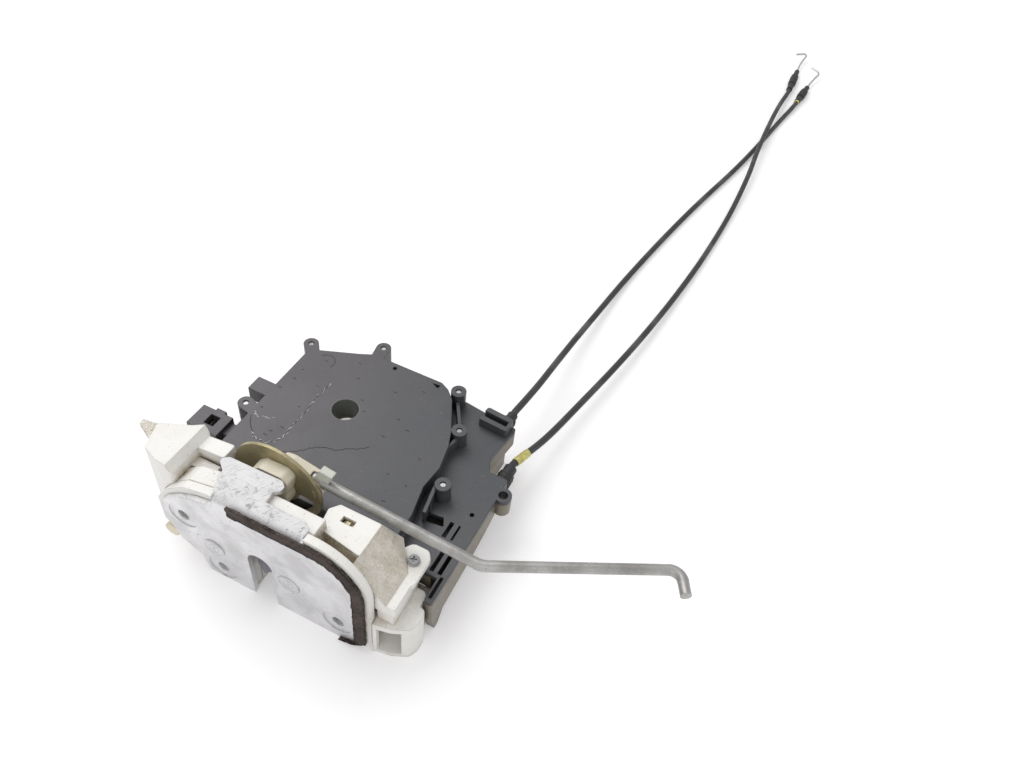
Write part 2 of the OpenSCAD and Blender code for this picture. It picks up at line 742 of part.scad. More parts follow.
module outer_ears_plan() {
    ear_plan(outer_ears[0], [-30, -18]);
    ear_plan(outer_ears[1], [-29, 19.6]);
    ear_plan(outer_ears[2], [-4.6, 31]);
}

module actuator_cover() {
    color(black) above_table() difference() {
        union() {
            translate([0, 0, split_z + fit]) linear_extrude(deck_top - split_z - fit) house_plan();
            translate([0, 0, split_z + fit]) linear_extrude(cover_top - split_z - fit) {
                dome_plan();
                outer_ears_plan();
            }
            for (e = step_ears) translate([e[0], e[1], split_z + fit]) cylinder(d = ear_d, h = cover_top - split_z - fit);
            // Ribs beside the step, from boss to boss
            for (r = step_ribs) translate([0, 0, split_z + fit]) linear_extrude(r[2] - split_z - fit) rib_plan(r[0], r[1], 1.4);
            translate([side_ear[0], side_ear[1], split_z + fit]) cylinder(d = ear_d + 0.4, h = deck_top - split_z - fit);
            // Lug on the left edge
            translate([-39.4, -9.7, split_z + 3]) cube([9, 7, cover_top - split_z - 3]);
        }
        difference() {
            translate([0, 0, split_z - 1]) linear_extrude(cover_top - split_z + 1 - wall) offset(delta = -wall) dome_plan();
            translate([0, 0, cover_top - bore_depth]) cylinder(d = bore_d + 4, h = bore_depth);
            for (e = step_ears) translate([e[0], e[1], 0]) cylinder(d = ear_d, h = cover_top);
        }
        translate([0, 0, cover_top - bore_depth - 1]) cylinder(d = bore_d, h = bore_depth + 2);
        for (e = concat(outer_ears, step_ears)) translate([e[0], e[1], split_z - 1]) cylinder(d = ear_hole_d, h = 20);
        translate([side_ear[0], side_ear[1], split_z - 3]) cylinder(d = side_hole_d, h = 20);
        // Trenches over the right wall
        for (x = [62.4, 65.6]) translate([x, -42.4, split_z - 1]) cube([1.6, 10, 9]);
        translate([67.4, -52, split_z - 1]) cube([1.2, 9, 9]);
        // Slots and the tapered opening in the deck, corner pocket in the dome
        translate([59.4, -28.1, split_z - 1]) cube([1.6, 7.2, 9]);
        translate([63, -28, split_z - 1]) cube([0.8, 7, 9]);
        translate([0, 0, split_z - 1]) linear_extrude(9) polygon([[50.3, -21.3], [56.3, -20.7], [58.1, -24.2], [50.6, -25.4]]);
        translate([64.9, -14.4, split_z - 1]) cylinder(d = 1.8, h = 9);
        translate([0, 0, cover_top - 1.5]) linear_extrude(3) polygon([[22.6, 30.2], [26.2, 30.6], [25.8, 28.6]]);
        translate([5.1, 29.4, cover_top - 1.2]) cylinder(d = 1.8, h = 3);
    }
}

// Straight rib between two points
module rib_plan(from, to, w) {
    a = atan2(to[1] - from[1], to[0] - from[0]);
    translate(from) rotate(a) translate([0, -w / 2]) square([norm(to - from), w]);
}

// Bright pins in the cover's bosses, of which the outer ones reach into the base
module cover_pins() {
    module pin(at, foot) translate([at[0], at[1], foot]) cylinder(d = ear_hole_d - 2 * run, h = cover_top - 0.5 - foot);
    color(zinc) above_table() {
        for (e = outer_ears) pin(e, base_bottom + 0.5);
        for (e = step_ears) pin(e, split_z + 0.3);
    }
}

// Outline of the right wall in depth and height
module side_wall_profile() {
    polygon([[-53.8, split_z], [-54.8, 15], [-50.6, 0.3], [-48, 0.8], [-44.7, 6], [-20, 8.6], [-12, 10], [0, base_bottom],
        [gland_2_at[1], base_bottom], [gland_2_at[1], split_z]]);
}

module well_plan(inset) {
    w = motor_w + 2 * wall + 1;
    translate([12 + inset, motor_y - w / 2 + inset]) square([motor_x + motor_l + wall + 0.3 - 12 - 2 * inset, w - 2 * inset]);
}

module actuator_base() {
    color([0.22, 0.21, 0.20]) above_table() difference() {
        union() {
            translate([0, 0, base_bottom]) linear_extrude(split_z - base_bottom) {
                house_plan();
                outer_ears_plan();
            }
            intersection() {
                side_wise(62, 70) side_wall_profile();
                linear_extrude(split_z) house_plan();
            }
            translate([0, 0, 0.3]) linear_extrude(base_bottom) soft(2) well_plan(0);
            translate([wheel_at[0], wheel_at[1], 6.5]) cylinder(r = 13, h = base_bottom - 6);
            translate([side_ear[0], side_ear[1], base_bottom]) cylinder(d = ear_d + 0.4, h = split_z - base_bottom);
        }
        difference() {
            translate([0, 0, base_bottom + wall]) linear_extrude(20) offset(delta = -wall) house_plan();
            cylinder(d = recess_d + 2 * wall, h = split_z - 0.2);
            for (e = concat(step_ears, [lock_at, release_at])) translate([e[0], e[1], 0]) cylinder(d = ear_d, h = split_z - 0.2);
        }
        translate([0, 0, 0.3 + wall]) linear_extrude(20) well_plan(wall);
        translate([wheel_at[0], wheel_at[1], 6.5 + wall]) cylinder(r = 13 - wall, h = 20);
        side_wise(64, 68) offset(delta = -wall) polygon([[-49.6, split_z + 4], [-49.6, 8], [-44.7, 6.6], [-20, 8.6], [-12, 10],
            [0, base_bottom], [0, split_z + 4]]);
        // Recess below the drive bore
        translate([0, 0, base_bottom - 1]) cylinder(d = recess_d, h = split_z - wall - base_bottom + 1);
        cylinder(d = bore_d + 1, h = 40);
        for (e = concat(outer_ears, step_ears)) translate([e[0], e[1], 0]) cylinder(d = ear_hole_d, h = 40);
        translate([side_ear[0], side_ear[1], 0]) cylinder(d = side_hole_d, h = 40);
        for (p = [lock_at, release_at]) translate([p[0], p[1], base_bottom + 1]) cylinder(d = 3 + fit, h = 20);
        translate([wheel_at[0], wheel_at[1], 7.5]) cylinder(d = 3 + fit, h = 20);
        translate([0, 0, split_z - 0.9]) linear_extrude(2) seal_ring(0.45);
    }
}

// Ring along the middle of the base's wall, inset from both faces of the wall
module seal_ring(inset) {
    difference() {
        offset(delta = -inset) house_plan();
        offset(delta = inset - wall) house_plan();
    }
}

module housing_seal() {
    color([0.1, 0.1, 0.1]) above_table() translate([0, 0, split_z - 0.88]) linear_extrude(0.86 + fit) seal_ring(0.55);
}

module connector_shell() {
    color(black) above_table() difference() {
        union() {
            translate([-51, -33.5, 12]) cube([14, 10.5, 15]);
            translate([-37.2, -30, 12]) cube([6, 6, 13]);
            translate([-45.3, -23.2, 18]) cube([4.3, 1.4, 9]);
        }
        translate([-49.4, -31.9, 10]) cube([10.8, 7.3, 14]);
        translate([-45.4, -30.3, 20]) cube([4.4, 4.9, 9]);
    }
}

// Bent pins that come out of the connector's rear wall and point down
module terminals() {
    pin = 0.8;
    color([0.80, 0.68, 0.35]) above_table() for (i = [0:3]) translate([-47.6 + i * 2.1, -28.6, 16]) {
        cube([pin, pin, 5]);
        translate([0, 0, 5 - pin]) cube([pin, 28.6 - 24.6 - 0.02, pin]);
    }
}

module microswitch() {
    color([0.16, 0.16, 0.17]) above_table() {
        translate([-8, 17.5, base_bottom + wall]) cube([12.8, 5.8, 6.5]);
        translate([-3.4, 16.8, base_bottom + wall + 3]) cube([2, 0.8, 2]);
    }
}

module motor() {
    color(zinc) above_table() translate([motor_x, motor_y, motor_z]) rotate([0, 90, 0]) {
        intersection() {
            cylinder(d = motor_w, h = motor_l);
            translate([-motor_h / 2, -20, 0]) cube([motor_h, 40, motor_l]);
        }
        translate([0, 0, -1.5]) cylinder(d = 6, h = 2);
    }
}

// Worm: one thread wound round the shaft, with a thread crest between two teeth of the wheel
module worm() {
    turns = 5;
    start_x = wheel_at[0] - 2.75 * worm_lead;
    thread_l = worm_lead * turns;
    color(gold) above_table() translate([start_x, motor_y, motor_z]) rotate([0, 90, 0]) {
        linear_extrude(thread_l, twist = -360 * turns, slices = 14 * turns, $fn = 18) translate([1.5, 0]) circle(2.4);
        for (end = [[-1.4, 1.45], [thread_l - 0.05, 0.85]]) translate([0, 0, end[0]]) cylinder(r = 2.5, h = end[1]);
        translate([0, 0, -2.9]) cylinder(d = 2, h = 1.6);
        translate([0, 0, thread_l + 0.7]) cylinder(d = 2, h = motor_x - 1.6 - start_x - thread_l - 0.7);
    }
}

module worm_wheel() {
    tip_r = pitch_r + 0.5;
    root_r = pitch_r - 1.6;
    step = 360 / wheel_teeth;
    flank = [[-0.31, root_r], [-0.16, tip_r], [0.16, tip_r], [0.31, root_r]];
    color([0.88, 0.87, 0.82]) above_table() translate([wheel_at[0], wheel_at[1], motor_z - wheel_t / 2]) difference() {
        union() {
            linear_extrude(wheel_t) polygon([for (i = [0:wheel_teeth - 1]) for (f = flank)
                f[1] * [cos(90 + (i + 0.5 + f[0]) * step), sin(90 + (i + 0.5 + f[0]) * step)]]);
            cylinder(r = 3.4, h = wheel_t + 3);
        }
        translate([0, 0, -1]) cylinder(d = 3 + 2 * run, h = 20);
        translate([0, 0, wheel_t - 1.2]) difference() {
            cylinder(r = 6.4, h = 5);
            cylinder(r = 3.4, h = 5);
        }
    }
}

module wheel_pin() {
    color(steel) above_table() translate([wheel_at[0], wheel_at[1], 7.6]) cylinder(d = 3, h = 12);
}

module lever_post_at(p) color(steel) above_table() translate([p[0], p[1], base_bottom + 1.1]) cylinder(d = 3, h = 11.5);
module lock_post() lever_post_at(lock_at);
module release_post() lever_post_at(release_at);

// Flat lever with two arms round its post
module flat_lever(p, arm_a, arm_b, z, t) {
    above_table() translate([p[0], p[1], z]) difference() {
        linear_extrude(t) {
            hull() {
                circle(4.5);
                translate(arm_a) circle(2.2);
            }
            hull() {
                circle(4.5);
                translate(arm_b) circle(2.2);
            }
        }
        translate([0, 0, -1]) cylinder(d = 3 + 2 * run, h = t + 2);
        for (arm = [arm_a, arm_b]) translate([arm[0], arm[1], -1]) cylinder(d = 2, h = t + 2);
    }
}

module lock_lever() color([0.85, 0.84, 0.80]) flat_lever(lock_at, [-14, 4], [4, -13], split_z + 0.3, 3);
module release_lever() color(zinc) flat_lever(release_at, [13, -8], [-3, 14], split_z + 0.3, 2);

module gland_1() color(black) above_table() gland(gland_1_at, gland_1_l, gland_d - 0.8);
module gland_2() color([0.2, 0.2, 0.21]) above_table() gland(gland_2_at, gland_2_l, gland_d);
module gland(at, l, d) {
    bar_from = at[1] + 0.02;
    bar([at[0], at[2]], d, bar_from, bar_from + l * 0.62);
    bar([at[0], at[2]], d - 1.2, bar_from + l * 0.6, at[1] + l - 0.02);
}

module cable_clip() {
    color(black) above_table() difference() {
        translate([0, 0, deck_top + 0.02]) linear_extrude(4.2) soft(1) polygon([[46.4, 26], [59.4, 25.2], [59.6, 32.4], [47.4, 33.4]]);
        translate([0, 0, deck_top + 1]) linear_extrude(5) polygon([[45, 28.4], [58.2, 27.4], [58.3, 30.2], [45, 31.2]]);
    }
}

// Point on the smooth curve through the route's points, u from 0 to 1
function curve(p, u) =
    let (n = len(p) - 1, s = min(floor(u * n), n - 1), t = u * n - s, a = p[max(s - 1, 0)], b = p[s], c = p[s + 1],
        d = p[min(s + 2, n)])
    0.5 * (2 * b + (c - a) * t + (2 * a - 5 * b + 4 * c - d) * t * t + (3 * b - a - 3 * c + d) * t * t * t);

// Tube of a given diameter swept along a list of points
module tube(points, d, sides = 8, up = [0, 0, 1]) {
    n = len(points);
    function way(i) =
        let (v = points[min(i + 1, n - 1)] - points[max(i - 1, 0)])
        v / norm(v);
    function side(i) =
        let (v = cross(way(i), up))
        v / norm(v);
    verts = [for (i = [0:n - 1]) for (k = [0:sides - 1])
        points[i] + d / 2 * (cos(360 * (k + 0.5) / sides) * side(i) + sin(360 * (k + 0.5) / sides) * cross(side(i), way(i)))];
    walls = [for (i = [0:n - 2]) for (k = [0:sides - 1])
        let (m = (k + 1) % sides)
        [i * sides + k, i * sides + m, (i + 1) * sides + m, (i + 1) * sides + k]];
    polyhedron(verts, concat([[for (k = [sides - 1:-1:0]) k]], walls, [[for (k = [0:sides - 1]) (n - 1) * sides + k]]));
}

function along(route, rings) = [for (i = [0:rings - 1]) curve(route, i / (rings - 1))];

module cable_1() color(black) above_table() tube(along(route_1, 36), cable_d);
module cable_2() color(black) above_table() tube(along(route_2, 39), cable_d);

// Sleeve of tape round a cable between two shares of its route
module tape(route, from, to) {
    color([0.88, 0.82, 0.22]) above_table() difference() {
        tube([for (i = [0:3]) curve(route, from + (to - from) * i / 3)], cable_d + 0.7);
        tube([for (i = [-1:4]) curve(route, from + (to - from) * i / 3)], cable_d + 0.15);
    }
}

module tape_near() tape(route_2, 0.085, 0.15);
module tape_far() tape(route_1, 0.955, 0.985);

module fitting(from, to) {
    way = (to - from) / norm(to - from);
    l = norm(to - from);
    above_table() difference() {
        union() {
            stretch(from + way * 0.02, from + way * l * 0.3, fitting_d - 1);
            stretch(from + way * l * 0.28, from + way * l * 0.72, fitting_d);
            stretch(from + way * l * 0.7, to, fitting_d - 1.6);
        }
        stretch(from + way * l * 0.4, to + way, wire_d + 0.5);
    }
}

module fitting_1() color(black) fitting(route_1[len(route_1) - 1], fitting_1_to);
module fitting_2() color(black) fitting(route_2[len(route_2) - 1], fitting_2_to);

// Bare wire out of a fitting, with its hooked end
module wire_end(from, to, hook) {
    way = (to - from) / norm(to - from);
    above_table() tube(concat([to - way * 12, to - way * 2], [for (p = hook) p]), wire_d);
}

module wire_end_1() color(steel) wire_end(route_1[len(route_1) - 1], fitting_1_to,
    [[101.2, 460, 2.7], [102.4, 468, 3], [104, 475, 4], [103, 477.6, 4.6], [100.8, 478.6, 5], [97.4, 480, 5.4]]);
module wire_end_2() color(steel) wire_end(route_2[len(route_2) - 1], fitting_2_to,
    [[87.8, 484, 2.7], [88.3, 493, 3.2], [89.2, 500, 4.4], [87.6, 501, 5], [85.4, 498, 5.4], [82, 494, 5.8]]);

face_plate();
foam_seal();
latch_front();
latch_body();
side_box();
lever_shelf();
lever_cover();
roof_tongue();
cover_screw();
boss_screw();
fork_bolt();
pawl();
fork_pivot();
pawl_pivot();
fork_spring();
pawl_spring();
striker_bumper();
back_plate();
key_lever();
lever_hub();
lever_pin();
rod_clip();
clip_gate();
handle_rod();
slam_buffer();
cover_pins();
actuator_cover();
actuator_base();
housing_seal();
connector_shell();
terminals();
microswitch();
motor();
worm();
worm_wheel();
wheel_pin();
lock_lever();
release_lever();
lock_post();
release_post();
gland_1();
gland_2();
cable_clip();
cable_1();
cable_2();
tape_near();
tape_far();
fitting_1();
fitting_2();
wire_end_1();
wire_end_2();
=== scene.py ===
import math

import bmesh
import bpy
from mathutils import Matrix, Vector


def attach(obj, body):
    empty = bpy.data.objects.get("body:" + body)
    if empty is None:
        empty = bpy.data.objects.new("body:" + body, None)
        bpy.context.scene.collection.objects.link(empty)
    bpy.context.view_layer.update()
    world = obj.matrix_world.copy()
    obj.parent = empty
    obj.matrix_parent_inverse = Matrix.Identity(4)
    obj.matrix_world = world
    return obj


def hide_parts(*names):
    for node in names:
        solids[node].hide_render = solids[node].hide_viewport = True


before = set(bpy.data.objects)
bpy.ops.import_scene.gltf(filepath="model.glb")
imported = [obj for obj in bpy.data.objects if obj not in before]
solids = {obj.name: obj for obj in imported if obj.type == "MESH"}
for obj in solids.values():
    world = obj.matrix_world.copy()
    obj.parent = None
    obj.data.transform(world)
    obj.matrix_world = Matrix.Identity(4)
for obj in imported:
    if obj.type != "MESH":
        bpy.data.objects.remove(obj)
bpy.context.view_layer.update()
scene = bpy.context.scene
scene.view_settings.view_transform = "Standard"

# The camera looks down at the lock from the front, a little from the right, and is rolled a little, as in the
# photograph. Its directions and its place are in the lock's own frame, in metres.
camera_right = Vector((0.8957, 0.4345, 0.0941))
camera_up = Vector((-0.3772, 0.6309, 0.6780))
camera_ahead = Vector((-0.2352, 0.6428, -0.7290))
camera_place = (0.1341, -0.1821, 0.259)
camera_data = bpy.data.cameras.new("camera")
camera_data.sensor_width = 36.0
camera_data.lens = 30.0
camera_data.clip_start = 0.01
camera = bpy.data.objects.new("camera", camera_data)
camera_turn = Matrix((camera_right, camera_up, -camera_ahead)).transposed().to_4x4()
camera.matrix_world = Matrix.Translation(camera_place) @ camera_turn
scene.collection.objects.link(camera)
scene.camera = camera


# The lock lies on a plain white table, with its slot's mouth down. What the camera and the reflections see of
# the table is lifted to white, and the shadows stay on it.
class Wire:
    """A number, colour or direction that runs through the nodes of one tree."""

    def __init__(self, tree, socket=None):
        self.tree = tree
        self.socket = socket

    def make(self, kind, settings=None, sockets=None, out=0):
        node = self.tree.nodes.new("ShaderNode" + kind)
        for name, value in (settings or {}).items():
            setattr(node, name, value)
        fill(node, sockets or {})
        return Wire(self.tree, node.outputs[out])

    def math(self, operation, first, second):
        return self.make("Math", {"operation": operation}, {0: first, 1: second})

    def __add__(self, other):
        return self.math("ADD", self, other)

    __radd__ = __add__

    def __sub__(self, other):
        return self.math("SUBTRACT", self, other)

    def __rsub__(self, other):
        return self.math("SUBTRACT", other, self)

    def __mul__(self, other):
        return self.math("MULTIPLY", self, other)

    __rmul__ = __mul__

    def most(self, other):
        return self.math("MAXIMUM", self, other)

    def between(self, low, high):
        """0 at low and 1 at high, with a soft change between them."""
        return self.make("MapRange", {"interpolation_type": "SMOOTHSTEP"}, {0: self, 1: low, 2: high})

    def blend(self, colour, other):
        """The first colour where this mask is 0, the other where it is 1."""
        return self.make("Mix", {"data_type": "RGBA"}, {0: self, 6: colour, 7: other}, out=2)


def fill(node, sockets):
    """Gives a node's sockets their values or links."""
    for name, value in sockets.items():
        if isinstance(value, Wire):
            value.tree.links.new(value.socket, node.inputs[name])
        else:
            node.inputs[name].default_value = value


def start_finish(name):
    """A new material, its shader, and the point on the piece, in metres."""
    material = bpy.data.materials.new(name)
    material.use_nodes = True
    tree = material.node_tree
    return material, tree.nodes["Principled BSDF"], Wire(tree).make("TexCoord", out="Object")


table_z = -0.031
table_reach = 4
table_glow = 0.27
table_finish, shader, place = start_finish("white_table")
seen = place.make("LightPath", out="Is Camera Ray").most(place.make("LightPath", out="Is Glossy Ray"))
seen = seen.most(place.make("LightPath", out="Is Transmission Ray"))
fill(shader, {
    "Base Color": (0.86, 0.855, 0.86, 1), "Roughness": 0.9, "Specular IOR Level": 0.1,
    "Emission Color": (1, 0.99, 1, 1), "Emission Strength": seen * table_glow,
})
table_corners = [(x * table_reach, y * table_reach, table_z) for x, y in ((-1, -1), (1, -1), (1, 1), (-1, 1))]
table_mesh = bpy.data.meshes.new("table")
table_mesh.from_pydata(table_corners, [], [(0, 1, 2, 3)])
table_mesh.materials.append(table_finish)
table = bpy.data.objects.new("table", table_mesh)
scene.collection.objects.link(table)

# The studio is pale all round and gives an even light from every side. The camera sees it near white, as the
# table is.
sky_light = 0.62
sky_seen = 0.98
world = bpy.data.worlds.new("studio")
world.use_nodes = True
straight = Wire(world.node_tree).make("LightPath", out="Is Camera Ray")
fill(world.node_tree.nodes["Background"], {
    "Color": (1.0, 0.995, 1.0, 1), "Strength": straight * (sky_seen - sky_light) + sky_light,
})
scene.world = world

# A large soft box hangs over the lock's left, a little behind it, and throws the soft shadows. A weaker one
# fills them in from the front.
lamp_aim = Vector((0.02, -0.01, -0.01))
for name, spot, size, watts in (("soft_box", (-0.75, 0.35, 1.25), 1.1, 11),
                                ("front_fill", (0.5, -1.3, 0.9), 1.2, 3.5)):
    lamp = bpy.data.lights.new(name, "AREA")
    lamp.energy = watts
    lamp.size = size
    holder = bpy.data.objects.new(name, lamp)
    holder.location = spot
    holder.rotation_euler = (lamp_aim - Vector(spot)).to_track_quat("-Z", "Y").to_euler()
    scene.collection.objects.link(holder)

# Two cables leave the housing's rear: each is a steel wire in a black plastic conduit. They lie free on the
# table and cross near their ends. Their routes are the part's own.
origin_height = 31


def millimetres(*points):
    """Points in millimetres, with heights above the table, as metres in the lock's frame."""
    return [Vector((x / 1000, y / 1000, (z - origin_height) / 1000)) for x, y, z in points]


cable_r = 0.0015
route_1 = millimetres(
    (55.8, 40.7, 19.6), (55.8, 43.5, 19.6), (56.3, 50, 18.8), (56.8, 66, 15.5), (56.9, 84, 12),
    (57.4, 108, 8), (59, 138, 4.6), (61.8, 175, 2.2), (67.2, 218, 1.8), (74.1, 262, 1.8), (82.8, 309, 1.8),
    (88.5, 346, 1.8), (94.4, 393, 1.8), (97, 410, 2.3), (98.5, 421, 2.7), (98.8, 425.6, 2.7))
route_2 = millimetres(
    (66.6, 17, 17), (66.6, 19.5, 17), (68, 26, 15.6), (71.4, 46, 10), (76, 75, 7), (81, 105, 5.6),
    (85.6, 138, 4.2), (89.6, 176, 2.6), (92.7, 218, 1.9), (94.2, 264, 2.4), (93.4, 306, 4.8),
    (91.2, 338, 5.8), (89.6, 380, 5.7), (89.2, 410, 4.2), (89.9, 434, 2.7), (89.7, 440, 2.7))


# A strip of soft yellow tape marks each cable near one end. It is wound round by hand, so that every turn
# laps over the last one and wrinkles a little.
def smooth(points, count):
    """Points on a Catmull-Rom curve through the route's points."""
    last = len(points) - 1
    run = []
    for i in range(count):
        s = min(int(i / (count - 1) * last), last - 1)
        t = i / (count - 1) * last - s
        a, b, c, d = points[max(s - 1, 0)], points[s], points[s + 1], points[min(s + 2, last)]
        square = (2 * a - 5 * b + 4 * c - d) * t ** 2
        cube = (3 * b - a - 3 * c + d) * t ** 3
        run.append(0.5 * (2 * b + (c - a) * t + square + cube))
    return run


def grain(place, scale, detail=4, rough=0.5):
    """Noise with so many grains to the metre."""
    sockets = {"Vector": place, "Scale": scale, "Detail": detail, "Roughness": rough}
    return place.make("TexNoise", None, sockets)


def rough_skin(place, strength, depth, height, edges=None):
    """A surface that rises and falls with a height, with rounded edges where they are given."""
    sockets = {"Strength": strength, "Distance": depth, "Height": height}
    if edges:
        sockets["Normal"] = edges
    return place.make("Bump", None, sockets)


def add_mesh(name, mesh, finish, body):
    """One piece made from a mesh."""
    data = bpy.data.meshes.new(name)
    mesh.to_mesh(data)
    mesh.free()
    data.shade_smooth()
    data.materials.append(finish)
    piece = bpy.data.objects.new(name, data)
    scene.collection.objects.link(piece)
    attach(piece, body)
    return piece


tape_steps = 800
tape_sides = 24
tape_turns = 7
tape_under = 0.00014
tape_thick = 0.0002
tape_wrinkle = 0.00004
tape_finish, shader, place = start_finish("yellow_tape")
wound = grain(place, 420)
fill(shader, {
    "Base Color": wound.between(0.35, 0.7).blend((0.50, 0.45, 0.13, 1), (0.72, 0.66, 0.24, 1)),
    "Roughness": 0.55,
    "Normal": rough_skin(place, 0.5, 0.0004, wound),
})


def wound_tape(name, route, start, end):
    """Tape round a cable, between two shares of its route."""
    run = smooth(route, tape_steps)
    first = round(start * (tape_steps - 1))
    last = round(end * (tape_steps - 1))
    mesh = bmesh.new()
    rows = []
    for i in range(first, last + 1):
        share = (i - first) / (last - first)
        way = (run[i + 1] - run[i - 1]).normalized()
        side = way.orthogonal().normalized()
        other = way.cross(side)
        row = []
        for k in range(tape_sides):
            turn = 2 * math.pi * k / tape_sides
            lap = (share * tape_turns + k / tape_sides) % 1
            wave = tape_wrinkle * math.sin(5 * turn + 31 * share)
            reach = cable_r + tape_under + tape_thick * min(1, 6 * lap) * (1 - 0.4 * lap) + wave
            row.append(mesh.verts.new(run[i] + reach * (math.cos(turn) * side + math.sin(turn) * other)))
        rows.append(row)
    for a, b in zip(rows, rows[1:]):
        for k in range(tape_sides):
            m = (k + 1) % tape_sides
            mesh.faces.new((a[k], a[m], b[m], b[k]))
    for row in (rows[0], rows[-1]):
        mesh.faces.new(row)
    bmesh.ops.recalc_face_normals(mesh, faces=mesh.faces)
    return add_mesh(name, mesh, tape_finish, "lock")


far_winding = wound_tape("far_winding", route_1, 0.956, 0.984)
near_winding = wound_tape("near_winding", route_2, 0.088, 0.148)
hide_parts("tape_far")
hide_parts("tape_near")


# Each cable's steel wire comes out of its fitting bare. It is cold drawn, and its end is bent to a hook that
# goes into the handle that works it.
def dress(finish, *names):
    """Gives CAD nodes their finish."""
    for name in names:
        for slot in solids[name].material_slots:
            slot.material = finish


wire_finish, shader, place = start_finish("drawn_wire")
fill(shader, {
    "Base Color": (0.62, 0.61, 0.60, 1), "Metallic": 0.85, "Roughness": 0.3 + grain(place, 1500, 2) * 0.2,
})
dress(wire_finish, "wire_end_1", "wire_end_2")


# The conduits are extruded black plastic, scuffed and dusty. Each is one cord from its gland to its fitting.
def run_length(points):
    return sum((b - a).length for a, b in zip(points, points[1:]))


def line_piece(name, runs, radius, finish, body, sides=6):
    """Round lines through lists of points, as one curve with an open spline for each list."""
    curve = bpy.data.curves.new(name, "CURVE")
    curve.dimensions = "3D"
    curve.bevel_depth = radius
    curve.bevel_resolution = sides
    curve.use_fill_caps = True
    for points in runs:
        spline = curve.splines.new("POLY")
        spline.points.add(len(points) - 1)
        for point, at in zip(spline.points, points):
            point.co = (*at, 1)
        spline.use_smooth = True
    curve.materials.append(finish)
    piece = bpy.data.objects.new(name, curve)
    scene.collection.objects.link(piece)
    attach(piece, body)
    return piece


cable_steps = 120
conduit_finish, shader, place = start_finish("conduit")
scuffs = grain(place, 900, 5)
dust = grain(place, 60).between(0.48, 0.75)
fill(shader, {
    "Base Color": (dust * 0.6).blend((0.035, 0.036, 0.038, 1), (0.12, 0.118, 0.112, 1)),
    "Roughness": 0.42 + scuffs * 0.25,
    "Normal": rough_skin(place, 0.35, 0.0002, scuffs),
})
for number, route, winding in (("1", route_1, far_winding), ("2", route_2, near_winding)):
    run = smooth(route, cable_steps)
    cable = line_piece("conduit_" + number, [run], cable_r, conduit_finish, "lock")
    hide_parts("cable_" + number)
    run_length(run)


# Black moulded fittings end the cables, and rubber glands hold them where they leave the housing. All four
# have raised ribs round them.
def ring(centre, axis, radius, start=0, end=360):
    """Points round an axis, from one angle to another."""
    axis = Vector(axis).normalized()
    side = axis.cross(Vector((0, 0, 1)) if abs(axis.z) < 0.9 else Vector((0, 1, 0))).normalized()
    other = axis.cross(side)
    count = max(6, round((end - start) / 9))
    turns = [math.radians(start + (end - start) * i / count) for i in range(count + 1)]
    return [Vector(centre) + radius * (math.cos(turn) * side + math.sin(turn) * other) for turn in turns]


def ribs_between(start, end, radius, shares):
    """Ribs round the line between two points, at shares of its length."""
    start, end = millimetres(start, end)
    return [ring(start.lerp(end, share), end - start, radius) for share in shares]


fitting_finish, shader, place = start_finish("moulded_fitting")
fill(shader, {"Base Color": (0.03, 0.03, 0.032, 1), "Roughness": 0.4 + 0.3 * grain(place, 600, 3)})
dress(fitting_finish, "fitting_1", "fitting_2", "gland_1", "gland_2")
gland_rib = 0.00035
gland_ribs = ribs_between((55.8, 32.7, 19.6), (55.8, 40.7, 19.6), 0.0027, (0.12, 0.3, 0.48))
gland_ribs += ribs_between((66.6, 6.8, 17), (66.6, 17, 17), 0.0031, (0.1, 0.22, 0.34, 0.5))
line_piece("gland_ribs", gland_ribs, gland_rib, fitting_finish, "lock", 2)
fitting_r = 0.0025
fitting_rib = 0.00028
fitting_shares = (0.36, 0.44, 0.52, 0.6)
fitting_ribs = ribs_between((98.8, 425.6, 2.7), (100.6, 451.5, 2.7), fitting_r, fitting_shares)
fitting_ribs += ribs_between((89.7, 440, 2.7), (88.4, 472.3, 2.7), fitting_r, fitting_shares)
line_piece("fitting_ribs", fitting_ribs, fitting_rib, fitting_finish, "lock", 2)


# The housing is two injection moulded shells in black glass filled plastic, pinned together round their rim.
# The years in the door left a haze of dust, fine scratches in all directions and pale specks on it, and tan
# dust on the base's walls. Painted shade darkens the cover's walls and the corners of both shells.
def round_edges(place, radius):
    return place.make("Bevel", {"samples": 4}, {0: radius})


def streaks(place, turn, length, width, low, high):
    """Fine scratches that run along one direction, as a mask."""
    sockets = {"Vector": place, "Rotation": turn, "Scale": (length, width, width)}
    laid = place.make("Mapping", {"vector_type": "TEXTURE"}, sockets)
    return laid.make("TexNoise", None, {"Vector": laid, "Scale": 1.0, "Detail": 1.0}).between(low, high)


def facing(place, axis):
    """How far the surface looks along an axis: 0 is x, 1 is y and 2 is z."""
    normal = place.make("NewGeometry", out="Normal")
    return normal.make("SeparateXYZ", None, {0: normal}, out=axis)


def facing_up(place):
    """1 on faces that look up, 0 on walls and undersides."""
    return facing(place, 2).between(0.3, 0.7)


def corners(place, reach):
    """1 deep in the corners where the light is hidden, 0 in the open. It masks painted shade."""
    return 1 - place.make("AmbientOcclusion", {"samples": 6, "inside": False}, {"Distance": reach}, out=1)


def near(place, at, reach, edge, axes=(1, 1, 1)):
    """A soft round patch about a point, or about the line through it along an axis that is left out."""
    flat = place.make("VectorMath", {"operation": "MULTIPLY"}, {0: place, 1: axes})
    middle = tuple(a * b for a, b in zip(at, axes))
    gap = flat.make("VectorMath", {"operation": "DISTANCE"}, {0: flat, 1: middle}, out=1)
    return gap.between(reach + edge, reach)


bore_r = 0.0056


